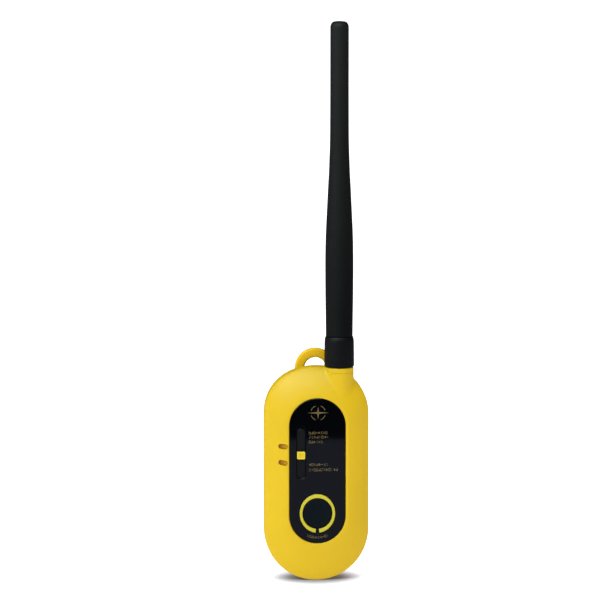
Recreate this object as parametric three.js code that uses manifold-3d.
// Handheld radio/GPS connector: a palm-sized capsule housing with a crowned front, a glossy
// control panel, a self-centring slider, a push button in a C-shaped ring, two indicator light
// pipes, a lanyard loop, a side charging port under a rubber plug and a screw-on whip antenna.
//
// Frame: millimetres, +Z up along the antenna, the front of the device faces -Y, +X is the
// user's right. The origin is the centre of the flat rear face, which is the plane y = 0.
import * as THREE from "three";
import { mergeVertices } from "three/addons/utils/BufferGeometryUtils.js";
import Module from "manifold-3d";

const wasm = await Module();
wasm.setup();

// ---------------------------------------------------------------- driving dimensions
const HALF_WIDTH = 26.25; // half the housing's width, and the radius of its round bottom
const TOP_Z = 29.0; // where the top cap starts
const TOP_RISE = 24.5; // rise of the top cap above TOP_Z
const TOP_POWER = 2.17; // superellipse power of the top cap
const BOTTOM_Z = -28.7; // centre of the round bottom
const SPLIT_Y = -15.4; // parting plane of the two shells, and the antenna's axis
const SPLIT_GAP = 0.05; // each shell stops this far from the parting plane
const PART_GAP = 0.05; // gap between a part and the face it sits on
const WALL = 2.0; // shell wall
const RIM_Y = -24.0; // foremost line of the front shell, around the panel
const RIM_RADIUS = 15.25; // rim of the panel recess, where the front slope ends
const FLOOR_Y = -22.4; // shell floor under the panel
const FLOOR_BACK = -20.8; // inside of that floor
const PANEL_RADIUS = 14.1; // end radius of the control panel
const PANEL_TOP_Z = 24.55; // centre of the panel's upper end
const PANEL_BOTTOM_Z = -20.75; // centre of the panel's lower end
const PANEL_Y = -23.8; // outer face of the panel
const SLIDE_X = -8.2; // slider centre line
const SLOT_Z = 11.3; // centre of the slider recess
const SLOT_HALF = [2.35, 13.45]; // its half width and half length
const KNOB_Z = 9.95; // slider knob centre
const SLIDE_TRAVEL = 1.2; // each way
const TRAY_Y = -22.8; // floor of the slider's tray in the panel
const SEAT_Y = -23.1; // seat of the button ring in the panel
const BUTTON_Z = -19.7; // centre of the push button and its ring
const LED_X = -17.2; // indicator slots
const LEDS = [
  { place: "upper", z: 14.4, tilt: -5 }, // tilt in degrees, the outer end is the higher one
  { place: "lower", z: 6.15, tilt: -9 },
];
const ANTENNA_X = 11.5; // antenna axis
const BOSS_RADIUS = 7.25;
const BOSS_TOP = 53.4;
const LOOP_Z = 51.5; // centre of the lanyard loop's arch
const LOOP_OUTER = 10.2; // radii of the arch
const LOOP_INNER = 5.4;
const LOOP_BASE = 42.6; // underside of the loop's crossbar
const LOOP_BAR_TOP = 45.2; // top of the crossbar
const LOOP_Y = [-7.6, -4.0];
const PORT_Y = -10.6; // charging port centre
const PORT_Z = -6.0;
const PLUG_HALF = [3.4, 6.2]; // half sizes of the port plug's cover in y and z
const PLUG_FIT = 0.3; // gap around that cover
const HINGE_X = 25.9; // plug hinge line, parallel to Y
const HINGE_Z = -13.2;
const BOARD_FRONT = -14.2;
const BOARD_BACK = -13.0;
const ON_FRONT = BOARD_FRONT - PART_GAP; // where parts on either side of the board start
const ON_BACK = BOARD_BACK + PART_GAP;
// x, z of the case screws and of the board screws
const CASE_POSTS = [[15.3, 27.0], [-15.3, 27.0], [11.0, -37.5], [-11.0, -37.5]];
const BOARD_POSTS = [[-7.5, 30.0], [0.0, -36.5]];

// Ranges for cutting tools
const EVERYWHERE = [-100, 100];
const AHEAD_Y = RIM_Y - 2; // clear of the front
const THROUGH_PANEL = [AHEAD_Y, -20];
const THROUGH_FLOOR = [-23, -20];
const THROUGH_BOARD = [-20, -10];

// ---------------------------------------------------------------- materials
const standard = (settings) => new THREE.MeshStandardMaterial(settings);
const YELLOW = standard({ color: 0xeed023, roughness: 0.45 });
const AMBER_YELLOW = standard({ color: 0xe8a512, roughness: 0.5 });
const GLOSS_BLACK = standard({ color: 0x0d1014, roughness: 0.08 });
const MATT_BLACK = standard({ color: 0x17191b, roughness: 0.55 });
const RUBBER = standard({ color: 0x1c1f20, roughness: 0.75 });
const AMBER = standard({ color: 0xa86f10, roughness: 0.25 });
const WHITE_PLASTIC = standard({ color: 0xe6e6e0, roughness: 0.5 });
const GREEN_BOARD = standard({ color: 0x14532f, roughness: 0.5 });
const STEEL = standard({ color: 0xb9bcc0, roughness: 0.3, metalness: 1 });
const GOLD = standard({ color: 0xc9a24a, roughness: 0.28, metalness: 1 });
const COPPER = standard({ color: 0xb9713f, roughness: 0.3, metalness: 1 });
const SILVER_FOIL = standard({ color: 0xa9adb1, roughness: 0.4, metalness: 0.8 });
const FOAM = standard({ color: 0x2a2a2a, roughness: 0.95 });
const SILICONE = standard({ color: 0x8c8f92, roughness: 0.7 });
const GLASS_FIBRE = standard({ color: 0xd8d6bf, roughness: 0.6 });
const RED = standard({ color: 0xb3201c, roughness: 0.5 });
const LABEL = standard({ color: 0xc7c9cb, roughness: 0.5 });

// ---------------------------------------------------------------- meshes and solids
const group = new THREE.Group();
function put(name, shape, material) {
  const { vertProperties, triVerts } = shape.getMesh();
  const geometry = new THREE.BufferGeometry();
  const positions = new THREE.BufferAttribute(new Float32Array(vertProperties), 3);
  geometry.setAttribute("position", positions);
  geometry.setIndex(new THREE.BufferAttribute(new Uint32Array(triVerts), 1));
  geometry.computeVertexNormals();
  const mesh = new THREE.Mesh(geometry, material);
  mesh.name = name;
  group.add(mesh);
}
// Manifold solid of a closed geometry, its vertices merged by position alone.
function solid(geometry) {
  const flat = geometry.index ? geometry.toNonIndexed() : geometry;
  const bare = new THREE.BufferGeometry();
  bare.setAttribute("position", flat.getAttribute("position"));
  const merged = mergeVertices(bare, 1e-4);
  return new wasm.Manifold(
    new wasm.Mesh({
      numProp: 3,
      vertProperties: new Float32Array(merged.attributes.position.array),
      triVerts: new Uint32Array(merged.index.array),
    }),
  );
}

// Ranges are [low, high] pairs.
const about = (centre, half) => [centre - half, centre + half];
const middle = ([low, high]) => (low + high) / 2;
const size = ([low, high]) => high - low;
const box = (xs, ys, zs) =>
  solid(
    new THREE.BoxGeometry(size(xs), size(ys), size(zs)).translate(middle(xs), middle(ys), middle(zs)),
  );
const cylinderY = (x, z, radius, ys, sides) =>
  solid(new THREE.CylinderGeometry(radius, radius, size(ys), sides).translate(x, middle(ys), z));
// The same cylinder at several places, as one solid.
const cylindersY = (places, radius, ys, sides) =>
  places.map(([x, z]) => cylinderY(x, z, radius, ys, sides)).reduce((sum, next) => sum.add(next));

// Turns a geometry built about Y to stand on the antenna axis.
const onAntennaAxis = (geometry, z) =>
  solid(geometry.rotateX(Math.PI / 2).translate(ANTENNA_X, SPLIT_Y, z));
const axisCylinder = (radius, zs, sides) =>
  onAntennaAxis(new THREE.CylinderGeometry(radius, radius, size(zs), sides), middle(zs));
const axisHex = (acrossFlats, zs) => axisCylinder(acrossFlats / Math.sqrt(3), zs, 6);
// profile: [radius, z] points
function axisLathe(profile, sides) {
  const points = profile.map(([radius, z]) => new THREE.Vector2(radius, z));
  return onAntennaAxis(new THREE.LatheGeometry(points, sides), 0);
}

const shapeOf = (points) => new THREE.Shape(points.map((point) => new THREE.Vector2(...point)));
const extrude = (points, depth) =>
  new THREE.ExtrudeGeometry(shapeOf(points), { depth, bevelEnabled: false });
// Flat outline of [x, z] points, extruded over ys.
const slabXZ = (points, ys) =>
  solid(extrude(points, size(ys)).rotateX(Math.PI / 2).translate(0, ys[1], 0));
// Flat outline of [y, z] points, extruded over xs.
function slabYZ(points, xs) {
  const placement = new THREE.Matrix4().set(0, 0, 1, xs[0], 1, 0, 0, 0, 0, 1, 0, 0, 0, 0, 0, 1);
  return solid(extrude(points, size(xs)).applyMatrix4(placement));
}
function tube(points, radius, steps, sides) {
  const extrudePath = new THREE.CatmullRomCurve3(points.map((point) => new THREE.Vector3(...point)));
  const section = shapeOf(ellipse(0, 0, radius, radius, sides));
  return solid(new THREE.ExtrudeGeometry(section, { extrudePath, steps, bevelEnabled: false }));
}

// ---------------------------------------------------------------- flat outlines
function ellipse(x, z, halfX, halfZ, count = 32) {
  return Array.from({ length: count }, (_, i) => {
    const angle = (2 * Math.PI * i) / count;
    return [x + halfX * Math.cos(angle), z + halfZ * Math.sin(angle)];
  });
}
// Round-ended slot along the longer of its two half sizes, tilted by some degrees.
function stadium([x, z], [halfX, halfZ], arcSteps = 10, tilt = 0) {
  const radius = Math.min(halfX, halfZ);
  const straightX = halfX - radius;
  const straightZ = halfZ - radius;
  const start = straightZ > straightX ? 0 : -Math.PI / 2;
  const cos = Math.cos(THREE.MathUtils.degToRad(tilt));
  const sin = Math.sin(THREE.MathUtils.degToRad(tilt));
  const points = [];
  for (const side of [1, -1])
    for (let i = 0; i <= arcSteps; i++) {
      const angle = start + (Math.PI * i) / arcSteps;
      const along = side * (straightX + radius * Math.cos(angle));
      const up = side * (straightZ + radius * Math.sin(angle));
      points.push([x + along * cos - up * sin, z + along * sin + up * cos]);
    }
  return points;
}
function rounded([x0, x1], [z0, z1], radius, arcSteps = 4) {
  const corners = [
    [x1 - radius, z1 - radius],
    [x0 + radius, z1 - radius],
    [x0 + radius, z0 + radius],
    [x1 - radius, z0 + radius],
  ];
  return corners.flatMap(([x, z], corner) =>
    Array.from({ length: arcSteps + 1 }, (_, i) => {
      const angle = (Math.PI / 2) * (corner + i / arcSteps);
      return [x + radius * Math.cos(angle), z + radius * Math.sin(angle)];
    }),
  );
}
// Closed plan curve: superelliptic top cap, straight sides, round bottom.
const TOP_STEPS = 20;
const BOTTOM_STEPS = 16;
function planCurve(halfWidth, rise, topZ, bottomZ, power) {
  const points = [];
  for (let i = 0; i <= TOP_STEPS; i++) {
    const cos = Math.cos((Math.PI * i) / TOP_STEPS);
    const sin = Math.sin((Math.PI * i) / TOP_STEPS);
    points.push([
      halfWidth * Math.sign(cos) * Math.abs(cos) ** (2 / power),
      topZ + rise * Math.abs(sin) ** (2 / power),
    ]);
  }
  for (let i = 0; i <= BOTTOM_STEPS; i++) {
    const angle = Math.PI + (Math.PI * i) / BOTTOM_STEPS;
    points.push([halfWidth * Math.cos(angle), bottomZ + halfWidth * Math.sin(angle)]);
  }
  return points;
}
const outline = (inset) =>
  planCurve(HALF_WIDTH - inset, TOP_RISE - inset, TOP_Z, BOTTOM_Z, TOP_POWER);
const capsule = (radius) => planCurve(radius, radius, PANEL_TOP_Z, PANEL_BOTTOM_Z, 2);

// ---------------------------------------------------------------- housing bodies
// Lofted half body between the plan curve `from` at y0 and `to` at y1. `straight` is the share
// of the height that stands straight, `power` the roundness of the slope.
const LOFT_SHARES = [0, 0, 0.03, 0.12, 0.32, 0.6, 0.85, 1];
function halfBody(from, to, [y0, y1], straight, power) {
  const count = from.length;
  const positions = [];
  const index = [];
  LOFT_SHARES.forEach((share, ring) => {
    const slope = (1 - (1 - share) ** power) ** (1 / power);
    const height = ring === 0 ? 0 : straight + (1 - straight) * slope;
    from.forEach(([x, z], i) => {
      const [endX, endZ] = to[i];
      positions.push(x + (endX - x) * share, y0 + (y1 - y0) * height, z + (endZ - z) * share);
    });
  });
  const startCentre = positions.length / 3;
  positions.push(0, y0, 0, 0, y1, 0);
  const triangle = (a, b, c) => (y1 > y0 ? index.push(a, c, b) : index.push(a, b, c));
  const lastRing = (LOFT_SHARES.length - 1) * count;
  for (let ring = 0; ring < lastRing; ring += count)
    for (let i = 0; i < count; i++) {
      const next = (i + 1) % count;
      triangle(ring + i, ring + next, ring + count + next);
      triangle(ring + i, ring + count + next, ring + count + i);
    }
  for (let i = 0; i < count; i++) {
    const next = (i + 1) % count;
    triangle(startCentre, next, i);
    triangle(startCentre + 1, lastRing + i, lastRing + next);
  }
  const geometry = new THREE.BufferGeometry();
  geometry.setAttribute("position", new THREE.BufferAttribute(new Float32Array(positions), 3));
  geometry.setIndex(index);
  return solid(geometry);
}
const frontOuter = halfBody(outline(0), capsule(RIM_RADIUS), [SPLIT_Y, RIM_Y], 0.1, 1.28);
const frontInner = halfBody(outline(WALL), capsule(12.5), [SPLIT_Y + 1, FLOOR_BACK], 0.2, 1.2);
const rearOuter = halfBody(outline(0), outline(8), [SPLIT_Y, 0], 0.3, 2);
const rearInner = halfBody(outline(WALL), outline(8.6), [SPLIT_Y - 1, -2.2], 0.36, 2);

// Antenna boss, shared by both shells, and the room kept inside it.
const boss = axisCylinder(BOSS_RADIUS, [36, BOSS_TOP], 32);
const bossBlock = axisCylinder(BOSS_RADIUS - 0.02, [44, BOSS_TOP + 1], 32);
const bossRoom = axisCylinder(5.1, [33, 44], 24)
  .add(axisCylinder(3.4, [43.9, 49.8], 20))
  .add(axisCylinder(5.4, [49.7, BOSS_TOP + 1], 24));
const hollow = (outer, inner) => outer.add(boss).subtract(inner.subtract(bossBlock));

// ---------------------------------------------------------------- outlines shared by parts
const ledSlot = ({ z, tilt }, grow) => stadium([LED_X, z], [2.05 + grow, 1.05 + grow], 6, tilt);
// The button is slightly taller than it is wide.
const buttonOval = (halfWidth, ys, count) =>
  slabXZ(ellipse(0, BUTTON_Z, halfWidth, halfWidth + 0.3, count), ys);
// The ring is taller still.
const ringOval = (halfWidth, ys) =>
  slabXZ(ellipse(0, BUTTON_Z, halfWidth, halfWidth + 0.9, 40), ys);
const knobBox = ([halfX, halfZ], ys) => box(about(SLIDE_X, halfX), ys, about(KNOB_Z, halfZ));
const portOval = (halves, xs, arcSteps = 8) =>
  slabYZ(stadium([PORT_Y, PORT_Z], halves, arcSteps), xs);
const label = (inset, cornerRadius, ys) =>
  slabXZ(rounded(about(0, 13 - inset), about(-22, 9 - inset), cornerRadius), ys);

// Half sizes in x and z around the knob's stem
const STEM_HALF = [1.3, 1.15];
const STEM_SOCKET = STEM_HALF.map((half) => half + 0.15);
const PANEL_WINDOW = [1.5, STEM_HALF[1] + SLIDE_TRAVEL + 0.25];
const FLOOR_WINDOW = PANEL_WINDOW.map((half) => half + 0.3);

// Band between two insets of the housing outline, open around the antenna boss.
function gasketBand(outerInset, innerInset, [y0, y1], extraOpening) {
  const opening = [3.6 - extraOpening, 19.6 + extraOpening];
  return slabXZ(outline(outerInset), [y0, y1])
    .subtract(slabXZ(outline(innerInset), [y0 - 1, y1 + 1]))
    .subtract(box(opening, EVERYWHERE, [40, 60]));
}

// Lanyard loop: an arch on straight legs joined by a crossbar, grown on all sides.
function loopSolid(grow) {
  const archway = (radius, base, ys, count) =>
    slabXZ(ellipse(0, LOOP_Z, radius, radius, count), ys)
      .intersect(box(EVERYWHERE, EVERYWHERE, [LOOP_Z, 100]))
      .add(box(about(0, radius), ys, [base, LOOP_Z + 0.01]));
  const [y0, y1] = [LOOP_Y[0] - grow, LOOP_Y[1] + grow];
  const opening = archway(LOOP_INNER - grow, LOOP_BAR_TOP + grow, [y0 - 1, y1 + 1], 32);
  return archway(LOOP_OUTER + grow, LOOP_BASE - grow, [y0, y1], 40).subtract(opening);
}

// ---------------------------------------------------------------- front shell
function frontShell() {
  const casePosts = cylindersY(CASE_POSTS, 3.0, [SPLIT_Y - 8, SPLIT_Y], 16);
  let shell = hollow(frontOuter, frontInner)
    .add(casePosts.intersect(frontOuter))
    .add(cylindersY(BOARD_POSTS, 2.2, [-21.2, BOARD_FRONT - 0.1], 12))
    .subtract(bossRoom)
    .subtract(slabXZ(capsule(PANEL_RADIUS + 0.15), [AHEAD_Y, FLOOR_Y]))
    .subtract(knobBox(FLOOR_WINDOW, THROUGH_FLOOR))
    .subtract(slabXZ(ellipse(0, BUTTON_Z, 7.45, 7.8), THROUGH_FLOOR));
  for (const led of LEDS) shell = shell.subtract(slabXZ(ledSlot(led, 0.2), [AHEAD_Y, -16]));
  // the board posts stand past the parting plane, everything else stops short of it
  const kept = box(EVERYWHERE, [-60, SPLIT_Y - SPLIT_GAP], EVERYWHERE).add(
    cylindersY(BOARD_POSTS, 2.3, [SPLIT_Y - 2, -10], 12),
  );
  return shell
    .subtract(cylindersY(CASE_POSTS, 1.4, [-19.3, -10], 12))
    .subtract(cylindersY(BOARD_POSTS, 1.05, [-19.0, -10], 10))
    .intersect(kept);
}
put("front_shell", frontShell(), YELLOW);

// ---------------------------------------------------------------- rear shell
function rearShell() {
  const screwHoles = cylindersY(CASE_POSTS, 1.45, [-20, -1], 12);
  const headRecesses = cylindersY(CASE_POSTS, 2.65, [-2.8, 2], 16);
  const gasketGroove = gasketBand(0.55, 1.55, [SPLIT_Y - 1, -14.45], 0);
  const plugRecess = portOval(PLUG_HALF.map((half) => half + PLUG_FIT), [25.0, 30]);
  const portMouth = portOval([1.9, 4.7], [22, 27]);
  const hingeRecess = box([25.0, 30], about(PORT_Y, 1.6), [-17, -11]);
  return hollow(rearOuter, rearInner)
    .add(cylindersY(CASE_POSTS, 3.2, [SPLIT_Y, -1.5], 16))
    .subtract(bossRoom)
    .intersect(box(EVERYWHERE, [SPLIT_Y + SPLIT_GAP, 0], EVERYWHERE))
    .subtract(screwHoles)
    .subtract(headRecesses)
    .subtract(gasketGroove)
    .subtract(loopSolid(0.25))
    .subtract(plugRecess)
    .subtract(portMouth)
    .subtract(hingeRecess)
    .subtract(label(0, 2, [-0.35, 2]));
}
put("rear_shell", rearShell(), YELLOW);
put("shell_gasket", gasketBand(0.75, 1.35, [-15.3, -14.6], 0.4), SILICONE);
put("rating_label", label(0.25, 1.8, [-0.33, -0.1]), LABEL);

// Case screw with a cross-slotted head.
function caseScrew(x, z) {
  const slotLength = 1.4; // half sizes of the slots
  const slotWidth = 0.3;
  const slotY = [-1.75, 0];
  const drive = box(about(x, slotLength), slotY, about(z, slotWidth)).add(
    box(about(x, slotWidth), slotY, about(z, slotLength)),
  );
  return cylinderY(x, z, 2.3, [-2.75, -1.05], 20)
    .subtract(drive)
    .add(cylinderY(x, z, 1.2, [-18.9, -2.7], 12));
}
CASE_POSTS.forEach(([x, z], i) => put("case_screw_" + (i + 1), caseScrew(x, z), STEEL));

// ---------------------------------------------------------------- panel, ring and button
// The slider's tray and the ring's seat are blind, with windows for the knob and the button.
function frontPanel() {
  return slabXZ(capsule(PANEL_RADIUS), [PANEL_Y, FLOOR_Y - PART_GAP])
    .subtract(slabXZ(stadium([SLIDE_X, SLOT_Z], SLOT_HALF), [AHEAD_Y, TRAY_Y]))
    .subtract(knobBox(PANEL_WINDOW, THROUGH_PANEL))
    .subtract(ringOval(9.03, [AHEAD_Y, SEAT_Y]))
    .subtract(buttonOval(7.45, THROUGH_PANEL, 36));
}
put("front_panel", frontPanel(), GLOSS_BLACK);

// C-shaped ring, open at the bottom.
function buttonRing() {
  return ringOval(8.9, [-24.25, SEAT_Y - PART_GAP])
    .subtract(buttonOval(7.55, THROUGH_PANEL, 36))
    .subtract(box([-0.85, 0.95], THROUGH_PANEL, [BUTTON_Z - 12, BUTTON_Z]));
}
put("button_ring", buttonRing(), YELLOW);

// Dished cap on a flange, with a stub behind it for the switch plunger.
function functionButton() {
  const dishRadius = 40;
  const dish = new THREE.SphereGeometry(dishRadius, 40, 60).translate(0, -63.5, BUTTON_Z);
  return buttonOval(7.17, [-24.1, -20.4], 36)
    .subtract(solid(dish))
    .add(buttonOval(8.5, [-20.6, -19.9], 28))
    .add(cylinderY(0, BUTTON_Z, 1.6, [-20.0, -18.95], 12));
}
put("function_button", functionButton(), MATT_BLACK);

const buttonSeal = buttonOval(10.7, [-20.72, -19.6], 28).subtract(buttonOval(8.95, [-22, -18], 28));
put("button_seal", buttonSeal, SILICONE);

// ---------------------------------------------------------------- slider
function sliderBar() {
  const halves = [2.1, SLOT_HALF[1] - SLIDE_TRAVEL - 0.1];
  return slabXZ(stadium([SLIDE_X, SLOT_Z], halves), [-23.4, TRAY_Y - 0.1]).subtract(
    knobBox(STEM_SOCKET, THROUGH_PANEL),
  );
}
put("slider_bar", sliderBar(), MATT_BLACK);

const knobCap = slabXZ(rounded(about(SLIDE_X, 2.12), about(KNOB_Z, 1.9), 0.5), [-24.9, -23.45]);
put("slider_knob", knobCap.add(knobBox(STEM_HALF, [-23.5, -19.8])), YELLOW);

// Plate behind the shell floor, with two lugs that straddle the switch lever.
function sliderCarrier() {
  const lugs = knobBox([1.5, 2.6], [-19.7, -18.3]).subtract(knobBox([2, 1.35], [-20, -18]));
  return knobBox([3.6, 5.6], [-20.7, -19.6])
    .subtract(knobBox(STEM_SOCKET, [-22, -19]))
    .add(lugs);
}
put("slider_carrier", sliderCarrier(), WHITE_PLASTIC);
put("slide_switch_lever", knobBox([0.8, 1.0], [-19.3, -16.5]), WHITE_PLASTIC);
const leverRoom = knobBox([1.1, 2.6], [-18, -16.1]);
put("slide_switch_body", knobBox([2.2, 5.2], [-17.4, ON_FRONT]).subtract(leverRoom), STEEL);

// ---------------------------------------------------------------- indicator lights
// The light pipes follow the front surface, sunk a little below it.
const pipeLimit = frontOuter.translate([0, 0.55, 0]);
for (const led of LEDS) {
  const pipe = slabXZ(ledSlot(led, 0), [AHEAD_Y, -15.3]).intersect(pipeLimit);
  put("light_pipe_" + led.place, pipe, AMBER);
  const chip = box(about(LED_X, 0.8), [-15.0, ON_FRONT], about(led.z, 0.6));
  put("led_" + led.place, chip, WHITE_PLASTIC);
}

// ---------------------------------------------------------------- main board
const mainBoard = slabXZ(outline(3.2), [BOARD_FRONT, BOARD_BACK])
  .intersect(box(EVERYWHERE, EVERYWHERE, [-46, 35.5]))
  .subtract(cylindersY(CASE_POSTS, 3.7, THROUGH_BOARD, 16))
  .subtract(cylindersY(BOARD_POSTS, 1.1, THROUGH_BOARD, 10));
put("main_board", mainBoard, GREEN_BOARD);
BOARD_POSTS.forEach(([x, z], i) => {
  const head = cylinderY(x, z, 1.7, [ON_BACK, -11.9], 12);
  put("board_screw_" + (i + 1), head.add(cylinderY(x, z, 0.85, [-18.6, -12.9], 10)), STEEL);
});

// Parts on the front of the board
const plungerRoom = cylinderY(0, BUTTON_Z, 1.95, [-19, -16.0], 16);
const tactBody = box(about(0, 3), [-17.8, ON_FRONT], about(BUTTON_Z, 3)).subtract(plungerRoom);
put("tact_switch_body", tactBody, MATT_BLACK);
put("tact_switch_plunger", cylinderY(0, BUTTON_Z, 1.7, [-18.9, -16.9], 14), WHITE_PLASTIC);
put("radio_shield", slabXZ(rounded([1.5, 19.5], [0, 21], 0.8, 2), [-17.0, ON_FRONT]), STEEL);
put("bluetooth_module", box([-11.5, -0.5], [-16.4, ON_FRONT], [20, 26.5]), STEEL);
put("processor_chip", box([7.5, 14.5], [-15.2, ON_FRONT], [-9.5, -2.5]), MATT_BLACK);

// Oval jack open towards +X, with a tongue inside and a foot on the back of the board.
function chargingJack() {
  const tongue = box([17.2, 22.4], about(PORT_Y, 0.35), about(PORT_Z, 3.2));
  const foot = box([18.5, 22.5], [ON_BACK, PORT_Y - 1.4], about(PORT_Z, 3.5));
  return portOval([1.6, 4.5], [16.9, 24.0])
    .subtract(portOval([1.3, 4.2], [17.6, 25]))
    .add(tongue)
    .add(foot);
}
put("charging_jack", chargingJack(), STEEL);

// Battery and its leads
put("battery_pack", slabXZ(rounded([-17, 15], [-32.5, 18.5], 2, 3), [-11.7, -5.2]), SILVER_FOIL);
put("battery_pad", slabXZ(rounded([-12, 10], [-26, 12], 1, 2), [-5.1, -2.35]), FOAM);
put("battery_connector", box([-11.4, -5.0], [ON_BACK, -9.9], [22.6, 27.0]), WHITE_PLASTIC);
const LEAD_ROUTE = [[-8.3, 18.65], [-8.5, 19.8], [-10.6, 21.2], [-11.3, 22.45]]; // y, z
const batteryLead = (x) => tube(LEAD_ROUTE.map((point) => [x, ...point]), 0.55, 8, 6);
put("battery_lead_red", batteryLead(-9.6), RED);
put("battery_lead_black", batteryLead(-6.8), MATT_BLACK);

// x, y, z from the antenna jack to the coax connector
const COAX_ROUTE = [
  [11.5, -15.4, 39.3], [11.5, -15.0, 38.2], [11.2, -12.2, 37.0], [9.0, -9.9, 34.0],
  [5.2, -9.4, 29.0], [4.1, -10.2, 27.2], [4.0, -11.8, 27.0],
];
put("coax_connector", cylinderY(4, 27, 1.5, [ON_BACK, -11.9], 12), GOLD);
put("coax_lead", tube(COAX_ROUTE, 0.65, 22, 8), MATT_BLACK);

// ---------------------------------------------------------------- antenna socket
const JACK_FLATS = 8; // across the flats of the jack's hexagon and its nut
const nutBore = (zs) => axisCylinder(3.3, zs, 20);
const antennaJack = axisHex(JACK_FLATS, [41.6, 43.8])
  .add(axisCylinder(3.05, [43.7, 59.0], 20))
  .add(axisCylinder(2.0, [39.5, 41.7], 16))
  .subtract(axisCylinder(0.85, [55.5, 62], 10));
put("antenna_jack", antennaJack, GOLD);
put("jack_washer", axisCylinder(5.0, [49.75, 50.35], 20).subtract(nutBore([49, 52])), STEEL);
put("jack_nut", axisHex(JACK_FLATS, [50.45, 52.2]).subtract(nutBore([50, 54])), GOLD);

// ---------------------------------------------------------------- screw-on antenna
// Lathe profiles: radius, z
const SEAL = [
  [3.75, 52.35], [5.0, 52.35], [5.15, 52.7], [5.15, 53.35], [5.0, 53.6], [3.75, 53.6],
  [3.75, 52.35],
];
const SLEEVE = [
  [5.2, 53.75], [7.25, 53.75], [7.5, 54.1], [7.46, 60], [7.36, 66.5], [7.3, 67.5],
  [6.88, 68.95], [5.2, 68.95], [5.2, 53.75],
];
const PLUG = [
  [0, 56.2], [0.5, 56.2], [0.5, 59.7], [3.35, 59.7], [3.35, 53.9], [4.7, 53.9], [4.9, 54.2],
  [4.9, 64.2], [0, 64.2],
];
const WHIP = [
  [0, 64.6], [5.0, 64.6], [5.0, 69.1], [6.55, 69.1], [6.72, 69.25], [6.82, 79], [6.97, 90.6],
  [7.04, 102.7], [6.94, 114.9], [6.77, 121], [6.5, 127], [6.2, 133.1], [5.6, 145.3],
  [5.24, 151.3], [4.78, 163.5], [4.6, 176], [4.51, 224.0], [4.35, 225.5], [3.9, 226.5],
  [3.2, 227.0], [0, 227.0],
];
put("antenna_seal", axisLathe(SEAL, 20), RUBBER);
put("antenna_sleeve", axisLathe(SLEEVE, 22), RUBBER);
put("antenna_plug", axisLathe(PLUG, 20), GOLD);
const whip = axisLathe(WHIP, 22)
  .subtract(axisCylinder(3.1, [60, 140], 16))
  .subtract(axisCylinder(1.5, [139, 216], 12));
put("antenna_whip", whip, RUBBER);
put("antenna_rod", axisCylinder(1.2, [64.4, 214], 12), GLASS_FIBRE);

function antennaCoil() {
  const radius = 2.2;
  const [bottom, top] = [68, 130];
  const steps = 9 * 8; // turns by steps per turn
  const points = Array.from({ length: steps + 1 }, (_, i) => {
    const angle = (2 * Math.PI * i) / 8;
    return [
      ANTENNA_X + radius * Math.cos(angle),
      SPLIT_Y + radius * Math.sin(angle),
      bottom + (i / steps) * (top - bottom),
    ];
  });
  return tube(points, 0.35, steps, 4);
}
put("antenna_coil", antennaCoil(), COPPER);

// ---------------------------------------------------------------- lanyard loop and port plug
put("lanyard_loop", loopSolid(0), AMBER_YELLOW);

// Cover and stem of the plug, with a hinge arm and knuckle below.
const STRAP_X = 26.15; // outer face of the arm and of the anchor
function portPlug() {
  const strapY = about(PORT_Y, 1.3);
  return portOval(PLUG_HALF, [25.15, 26.2])
    .add(portOval([0.95, 3.4], [22.9, 25.2], 6))
    .add(box([25.5, STRAP_X], strapY, [HINGE_Z, -11.5]))
    .add(cylinderY(HINGE_X, HINGE_Z, 0.55, strapY, 12));
}
put("port_plug", portPlug(), RUBBER);
put("port_plug_anchor", box([25.1, STRAP_X], about(PORT_Y, 1.35), [-16.7, -13.95]), RUBBER);

export default group;
